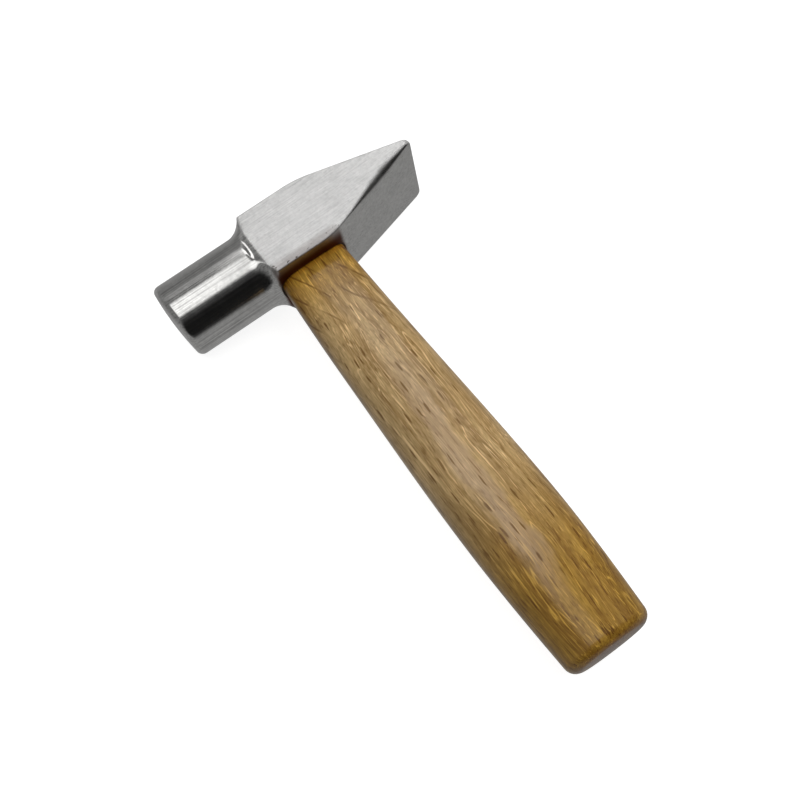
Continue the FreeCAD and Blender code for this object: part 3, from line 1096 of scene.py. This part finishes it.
    def store_zones(self, piece: Piece, points: Array) -> None:
        """Stores where the steel is turned, faced and ground, and the painted shade round the eye.

        Args:
            piece: The head.
            points: Its points in millimetres.
        """
        x, y, z = points[:, 0], points[:, 1], points[:, 2] - CENTRE_Z
        reach = np.hypot(x, z)
        turned = 1 - smooth_step(y, *self.turned_end)
        faced = (1 - smooth_step(y - self.face_y, *self.faced_rim)) * (reach < self.faced_reach)
        ground = smooth_step(np.abs(z) - self.cheek_z(y), *self.ground_depth) * (1 - turned)
        zones = np.stack([turned, faced, ground, np.ones_like(x)], axis=-1)
        store_values(piece, "zones", zones)
        # painted shade: the underside round the eye is darkened where the steel would mirror the shaded
        # wood
        outside = self.eye_distance(y, z) - 1
        rim = (1 - smooth_step(outside, *self.rim_shade_reach)) * smooth_step(x, *self.rim_shade_height)
        rim *= 1 - smooth_step(np.abs(y), *self.rim_shade_end)
        store_values(piece, "rim_shade", rim)


# ------------------------------------------------------------------ handle
@dataclass(frozen=True)
class StationCurve:
    """Smooth curve through a few sizes along the handle."""

    places: tuple[float, ...]
    values: tuple[float, ...]
    last_rise: float = 1.6  # slope at the last station, against the rate before it

    def at(self, x: Array) -> Array:
        """Values of the curve.

        Between two stations the curve is a cubic.  Its slope at a station is the harmonic mean
        of the rates on each side, or level at a peak, and it steepens towards the last one.

        Args:
            x: Places along the handle.

        Returns:
            The curve's values.
        """
        places, values = np.array(self.places), np.array(self.values)
        rates = np.diff(values) / np.diff(places)
        product = rates[:-1] * rates[1:]
        total = rates[:-1] + rates[1:]
        middle = np.where(product > 0, 2 * product / np.where(total == 0, 1.0, total), 0.0)
        slopes = np.concatenate([rates[:1], middle, self.last_rise * rates[-1:]])
        i = np.clip(np.searchsorted(places, x, side="right") - 1, 0, len(places) - 2)
        span = places[i + 1] - places[i]
        s = (x - places[i]) / span
        rise = s * s * (3 - 2 * s)
        return (values[i] + (values[i + 1] - values[i]) * rise
                + span * slopes[i] * s * (1 - s) ** 2
                - span * slopes[i + 1] * s * s * (1 - s))


@dataclass
class OakHandle:
    """Oval handle with the tenon that fills the eye and is split for the wedges."""

    end_x: float = 134.9
    width: StationCurve = StationCurve((10.9, 44.0, 97.0, 134.9), (20.1, 22.5, 25.3, 22.2))
    thickness: StationCurve = StationCurve((10.9, 44.0, 97.0, 134.9), (10.5, 15.6, 19.8, 17.6))
    squareness: StationCurve = StationCurve((10.9, 44.0, 97.0, 134.9), (3.4, 2.5, 2.25, 2.25))
    tenon_crown: Pair = (21.1, 11.7)  # length and thickness at the crown
    tenon_under: Pair = (20.1, 10.5)
    tenon_squareness: float = 3.4
    tenon_edge: float = 0.12
    tenon_start: float = 0.8  # from the crown to the first ring of the tenon's wall
    sway: StationCurve = StationCurve((10.9, 35.0, 75.0, 112.0, 134.9), (0.0, -0.22, -0.08, 0.12, 0.10))
    butt_radius: float = 2.8
    butt_dome: float = 0.3
    columns: int = 144
    wedge_depth: float = 15.0
    wedge_half_thickness: Pair = (1.3, 0.3)  # at the crown, at the tip
    wedge_half_length: Pair = (9.35, 8.85)
    pin_depth: float = 9.0
    pin_half_thickness: Pair = (0.95, 0.2)
    pin_half_length: float = 4.3
    least_half: float = 0.02  # smallest half size of a ring
    cap_rows: int = 7
    tenon_rows: int = 19
    grip_rows: int = 117
    butt_rows: int = 12
    dome_rows: int = 11
    slot_past: float = 1.0  # how far a slot's block goes on past the tenon's end

    def outline(self, x: Array, inset: Array, length: Array, thickness: Array, power: Array) -> Array:
        """Rings of the handle's rounded outline |y/a|^n + |z/b|^n = 1.

        Args:
            x: Place of each ring along the handle.
            inset: How far each ring is drawn in from the full outline.
            length: Full size along Y of each ring.
            thickness: Full size along Z of each ring.
            power: Exponent n of each ring.

        Returns:
            Points by ring and column.
        """
        turn = np.linspace(0, 2 * math.pi, self.columns, endpoint=False)[None, :]
        half_y = np.maximum(length / 2 - inset, self.least_half)[:, None]
        half_z = np.maximum(thickness / 2 - inset, self.least_half)[:, None]
        reach = oval_reach(turn, half_y, half_z, power[:, None])
        sway = np.where(x > UNDERSIDE_X, self.sway.at(x), 0.0)[:, None]
        y = reach * np.cos(turn) + sway
        z = reach * np.sin(turn) + CENTRE_Z
        return np.stack([np.broadcast_to(x[:, None], y.shape), y, z], axis=-1)

    def build(self) -> Piece:
        """Builds the handle as one closed surface from the tenon's end to the butt.

        Returns:
            The piece, with the slots for its wedges cut.
        """
        shrink = np.linspace(0.0, 1.0, self.cap_rows + 1)[1:]
        ones = np.ones_like(shrink)
        end = self.outline(np.full_like(shrink, CROWN_X), 0 * shrink,
                           (self.tenon_crown[0] - 2 * self.tenon_edge) * shrink,
                           (self.tenon_crown[1] - 2 * self.tenon_edge) * shrink,
                           self.tenon_squareness * ones)
        wall = np.linspace(CROWN_X + self.tenon_start, UNDERSIDE_X, self.tenon_rows + 1)[:-1]
        x = np.concatenate([[CROWN_X + self.tenon_edge], wall])
        share = (x - CROWN_X) / (UNDERSIDE_X - CROWN_X)
        length, thickness = [part_way(ends, share) for ends in zip(self.tenon_crown, self.tenon_under)]
        tenon = self.outline(x, 0 * x, length, thickness, np.full_like(x, self.tenon_squareness))
        x = np.linspace(UNDERSIDE_X, self.end_x - self.butt_dome - self.butt_radius, self.grip_rows + 1)
        grip = self.outline(x, 0 * x, self.width.at(x), self.thickness.at(x), self.squareness.at(x))
        butt = self.butt_rings()
        points = np.concatenate([end, tenon, grip, butt])
        rings = np.arange(points.shape[0] * points.shape[1]).reshape(points.shape[:2])
        flat = points.reshape(-1, 3)
        caps = np.array([[CROWN_X, 0.0, CENTRE_Z], [self.end_x, 0.0, CENTRE_Z]])
        faces = strip_faces(rings).tolist()
        faces += fan_faces(rings[0], len(flat)).tolist()
        faces += fan_faces(rings[-1], len(flat) + 1).tolist()
        piece = mesh_piece("oak_handle", np.concatenate([flat, caps]), faces)
        self.cut_slots(piece)
        return piece

    def butt_rings(self) -> Array:
        """Rings of the butt's rounded edge and shallow dome.

        The edge is a quarter circle, and the dome rises as a parabola to the very end.

        Returns:
            Points by ring and column.
        """
        turn = np.linspace(0, math.pi / 2, self.butt_rows + 1)[1:]
        base = self.end_x - self.butt_dome - self.butt_radius
        x = base + self.butt_radius * np.sin(turn)
        inset = self.butt_radius * (1 - np.cos(turn))
        length, thickness, power = self.width.at(x), self.thickness.at(x), self.squareness.at(x)
        edge = self.outline(x, inset, length, thickness, power)
        shrink = np.linspace(1, 0, self.dome_rows + 1)[1:-1]
        dome_x = base + self.butt_radius + self.butt_dome * (1 - shrink ** 2)
        zero = np.zeros_like(shrink)
        dome = self.outline(dome_x, zero, (length[-1] - 2 * self.butt_radius) * shrink,
                            (thickness[-1] - 2 * self.butt_radius) * shrink, power[-1] + zero)
        return np.concatenate([edge, dome])

    def cut_slots(self, piece: Piece) -> None:
        """Cuts the two crossed slots that the wedges fill.

        Args:
            piece: The handle.
        """
        slots = [
            self.slot_block("slot_long", self.wedge_depth, self.wedge_half_length,
                            self.wedge_half_thickness),
            self.slot_block("slot_cross", self.pin_depth, self.pin_half_thickness,
                            (self.pin_half_length, self.pin_half_length)),
        ]
        for cutter in slots:
            cut = piece.modifiers.new("slot", "BOOLEAN")
            cut.operation = "DIFFERENCE"
            cut.solver = "EXACT"
            cut.object = cutter
        graph = bpy.context.evaluated_depsgraph_get()
        finished = bpy.data.meshes.new_from_object(piece.evaluated_get(graph))
        piece.modifiers.clear()
        piece.data = finished
        for cutter in slots:
            bpy.data.objects.remove(cutter)

    def slot_block(self, name: str, depth: float, half_y: tuple[float, float],
                   half_z: Pair) -> Piece:
        """Tapering block the shape of a wedge, carried on past the tenon's end.

        Args:
            name: Name of the block.
            depth: How deep the wedge goes below the crown.
            half_y: Half size along Y at the crown and at the tip.
            half_z: Half size along Z at the crown and at the tip.

        Returns:
            The block.
        """
        past = self.slot_past
        corners = np.array([[-1, -1], [1, -1], [1, 1], [-1, 1]], float)
        grow_y, grow_z = [part_way(half, -past / depth) for half in (half_y, half_z)]
        rings = []
        for x, y_size, z_size in ((CROWN_X - past, grow_y, grow_z),
                                  (CROWN_X + depth, half_y[1], half_z[1])):
            rings.append(np.column_stack([np.full(4, x), corners[:, 0] * y_size,
                                          corners[:, 1] * z_size + CENTRE_Z]))
        numbers = np.arange(8).reshape(2, 4)
        faces = strip_faces(numbers).tolist() + [[3, 2, 1, 0], [4, 5, 6, 7]]
        return mesh_piece(name, np.concatenate(rings), faces)


# ------------------------------------------------------------------ dressing
class Slot(Enum):
    """The record's material slots."""

    HEAD = "head_steel"
    HANDLE = "handle_wood"
    ADHESIVE = "adhesive"
    WOOD_WEDGE = "wedge_wood"
    STEEL_WEDGE = "wedge_steel"


OAK = LacqueredWood(
    pale=(0.64, 0.435, 0.195, 1.0), dark=(0.42, 0.254, 0.090, 1.0), pore=(0.19, 0.088, 0.018, 1.0),
    roughness=0.5, coat=0.6, coat_roughness=0.18, shift=(0.0, 63.0, 41.0), turn=(0.0, 0.0, 0.0),
    dark_ends=(11.0, 134.9), sheen_span=(12.0, 34.0, 80.0, 118.0), shine=0.15,
    streak=(0.60, 0.43, 0.29, 1.0), highlight_depth=0.42)
WEDGE_WOOD = LacqueredWood(
    pale=(0.62, 0.45, 0.26, 1.0), dark=(0.50, 0.34, 0.17, 1.0), pore=(0.30, 0.17, 0.07, 1.0),
    roughness=0.55, coat=0.0, coat_roughness=0.3, shift=(0.0, -31.0, 22.0), turn=(0.3, 0.0, 0.0),
    dark_ends=(-16.0, 60.0), sheen_span=(-40.0, -30.0, 60.0, 70.0), shine=0.4,
    streak=(0.62, 0.45, 0.26, 1.0), highlight_depth=0.0)


@dataclass
class Hammer:
    """The whole hammer: its rebuilt pieces and the ones that keep their own shape."""

    head: HammerHead
    handle: OakHandle

    def build(self) -> None:
        """Builds the pieces, dresses them and ties the rebuilt ones to the frame."""
        head = self.head.build()
        self.dress(head, ForgedSteel().material("bright_steel"), Slot.HEAD, "head")
        handle = self.handle.build()
        self.dress(handle, OAK.material("lacquered_oak"), Slot.HANDLE, "handle")
        self.redress("eye_adhesive", SetAdhesive().material("set_adhesive"))
        self.redress("wood_wedge", WEDGE_WOOD.material("plain_wedge_wood"))
        self.redress("steel_wedge", DullSteel().material("dull_steel"))

    @staticmethod
    def dress(piece: Piece, material: Material, slot: Slot, node: str) -> None:
        """Gives a rebuilt piece its finish and puts it in its node's place.

        Args:
            piece: The rebuilt piece.
            material: Its finish.
            slot: The record's slot that the finish belongs to; not used.
            node: The node that the piece stands for.
        """
        piece.data.materials.clear()
        piece.data.materials.append(material)
        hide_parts(node)
        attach(piece, "root")
        LOG.info("%s: %d faces, in place of %s", piece.name, len(piece.data.polygons), node)

    @staticmethod
    def redress(node: str, material: Material) -> None:
        """Gives a node that keeps its shape a better finish."""
        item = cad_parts[node]
        for slot in item.material_slots:
            slot.material = material
        LOG.info("%s: keeps its shape, finish %s", node, material.name)


# ------------------------------------------------------------------ studio
@dataclass
class Studio:
    """Pale floor, soft lights and the camera."""

    floor_half: float = 3000.0
    floor_z: float = -1.75
    floor_glow: float = 0.86
    floor_albedo: float = 0.5
    camera_place: Triple = (155.877, -33.494, 239.877)
    camera_aim: Triple = (56.03, -3.417, 10.45)
    camera_roll: float = math.radians(-19.51)
    lens: float = 45.0
    light_height: float = 700.0
    overhead_x: Pair = (-245.0, 300.0)
    overhead_y: Pair = (-350.0, 50.0)
    overhead_power: float = 0.95
    side_x: Pair = (-630.0, -290.0)
    side_y: Pair = (50.0, 620.0)
    side_power: float = 1.16
    fill_place: Triple = (120.0, 500.0, 580.0)
    fill_power: float = 2.4
    fill_aim: Triple = (60.0, 0.0, 0.0)
    fill_size: Pair = (600.0, 600.0)
    room_grey: Pair = (0.36, 0.24)  # low down and high up
    stripe_x: float = -0.72  # X part of the direction of the paler stripe
    stripe_half: float = 0.14
    stripe_gain: float = 0.18
    dark_x: Pair = (0.25, 0.72)  # X part of the direction over which the dark part sets in
    dark_z: Pair = (-0.28, 0.0)  # and its Z part
    dark_grey: float = 0.012
    nearest_seen: float = 0.01  # metres from the camera

    def build(self) -> None:
        """Builds the floor, the lights, the surroundings and the camera."""
        self.floor()
        self.lights()
        self.surroundings()
        self.camera()
        bpy.context.scene.view_settings.view_transform = "Standard"
        LOG.info("studio: floor, three lights, camera")

    def floor(self) -> None:
        """Flat square just below the lowest point of the hammer."""
        half = self.floor_half
        points = np.array([[-half, -half, self.floor_z], [half, -half, self.floor_z],
                           [half, half, self.floor_z], [-half, half, self.floor_z]])
        piece = mesh_piece("floor", points, [[0, 1, 2, 3]])
        material, _, shader = start_material("pale_floor")
        shader.inputs["Base Color"].default_value = (self.floor_albedo,) * 3 + (1.0,)
        shader.inputs["Roughness"].default_value = 1.0
        shader.inputs["Specular IOR Level"].default_value = 0.0
        shader.inputs["Emission Color"].default_value = (1.0, 1.0, 1.0, 1.0)
        shader.inputs["Emission Strength"].default_value = self.floor_glow
        piece.data.materials.append(material)
        piece.visible_glossy = False
        piece.visible_diffuse = False

    def area_light(self, name: str, place: Triple, aim: Triple, size: tuple[float, float],
                   power: float) -> Piece:
        """Adds a rectangular light.

        Args:
            name: Name of the light.
            place: Its middle in millimetres.
            aim: The point it faces.
            size: Its size in millimetres, across and along.
            power: Its power in watts.

        Returns:
            The light.
        """
        data = bpy.data.lights.new(name, "AREA")
        data.shape = "RECTANGLE"
        data.size, data.size_y = size[0] * MM, size[1] * MM
        data.energy = power
        lamp = bpy.data.objects.new(name, data)
        lamp.location = Vector(place) * MM
        direction = (Vector(aim) - Vector(place)).normalized()
        lamp.rotation_mode = "QUATERNION"
        lamp.rotation_quaternion = direction.to_track_quat("-Z", "Y")
        bpy.context.scene.collection.objects.link(lamp)
        return lamp

    def lights(self) -> None:
        """Two soft panels overhead, and a weak fill that gives no highlight."""
        for name, x_range, y_range, power in (
                ("overhead_panel", self.overhead_x, self.overhead_y, self.overhead_power),
                ("side_panel", self.side_x, self.side_y, self.side_power)):
            middle = (sum(x_range) / 2, sum(y_range) / 2)
            self.area_light(name, (*middle, self.light_height), (*middle, 0.0),
                            (x_range[1] - x_range[0], y_range[1] - y_range[0]), power)
        fill = self.area_light("fill", self.fill_place, self.fill_aim, self.fill_size, self.fill_power)
        fill.visible_glossy = False

    def surroundings(self) -> None:
        """Room light by direction, of which the camera itself sees plain white past the floor.

        It is grey all round, with a paler stripe on the crown's side and a dark part above the
        horizon on the handle's side.
        """
        world = bpy.data.worlds.new("studio_room")
        bpy.context.scene.world = world
        world.use_nodes = True
        sheet = NodeSheet(world.node_tree)
        direction = sheet.node("ShaderNodeTexCoord", {}).outputs["Generated"]
        x, _, z = sheet.axes(direction)
        grey = sheet.step(z, -0.5, 0.3, *self.room_grey)
        offset = sheet.maths("ABSOLUTE", sheet.minus(x, self.stripe_x))
        stripe = sheet.step(offset, self.stripe_half, 0.0, 0.0, self.stripe_gain)
        grey = sheet.plus(grey, sheet.times(stripe, sheet.step(z, 0.1, 0.4)))
        dark_side = sheet.times(sheet.step(x, *self.dark_x), sheet.step(z, *self.dark_z))
        level = sheet.between(dark_side, grey, self.dark_grey)
        colour = sheet.colour(level, level, level)
        seen = sheet.node("ShaderNodeLightPath", {}).outputs["Is Camera Ray"]
        colour = sheet.blend(seen, colour, (1.0, 1.0, 1.0, 1.0))
        background = sheet.node("ShaderNodeBackground", {"Color": colour, "Strength": 1.0})
        sheet.node("ShaderNodeOutputWorld", {"Surface": background.outputs[0]})

    def camera(self) -> None:
        """Camera above the handle's side, rolled so that the handle runs down to the right."""
        data = bpy.data.cameras.new("camera")
        data.lens = self.lens
        data.clip_start = self.nearest_seen
        camera = bpy.data.objects.new("camera", data)
        bpy.context.scene.collection.objects.link(camera)
        place, aim = Vector(self.camera_place), Vector(self.camera_aim)
        ahead = (aim - place).normalized()
        level = ahead.cross(Vector((0.0, 0.0, 1.0))).normalized()
        upright = level.cross(ahead)
        right = math.cos(self.camera_roll) * level + math.sin(self.camera_roll) * upright
        up = right.cross(ahead)
        turn = Matrix((right, up, -ahead)).transposed().to_4x4()
        camera.matrix_world = Matrix.Translation(place * MM) @ turn
        bpy.context.scene.camera = camera


def main() -> None:
    """Builds the hammer and the studio."""
    logging.basicConfig(level=logging.INFO, format="%(name)s %(message)s")
    Hammer(HammerHead(), OakHandle()).build()
    Studio().build()


if __name__ == "__main__":
    main()
